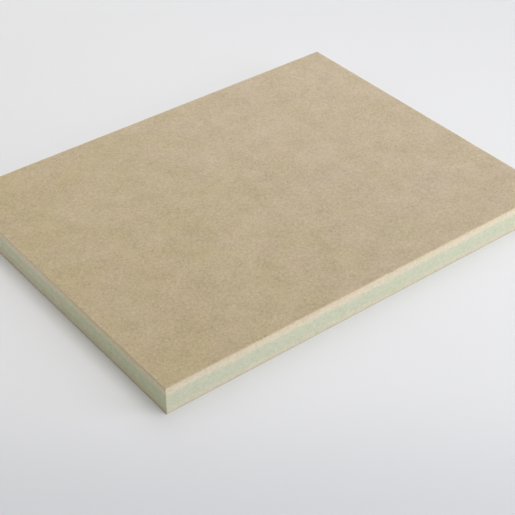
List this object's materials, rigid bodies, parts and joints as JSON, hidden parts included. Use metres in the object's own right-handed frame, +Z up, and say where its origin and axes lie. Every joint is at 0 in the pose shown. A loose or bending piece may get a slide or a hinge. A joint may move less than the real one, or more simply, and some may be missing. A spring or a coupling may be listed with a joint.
{
  "type": "moisture-resistant fibreboard panel",
  "caption": "Rectangular sawn piece of moisture-resistant fibreboard with a tan fibre face and a green-dyed middle between pale layers on its square edges.",
  "frame": {"origin": "centre of the underside", "axes": "+X along the board's length, +Y across its width, +Z up through its thickness"},
  "size_m": [0.2794, 0.216, 0.018],
  "materials": {
    "board": "matte"
  },
  "bodies": {
    "root": {"board": "board"}
  },
  "joints": []
}
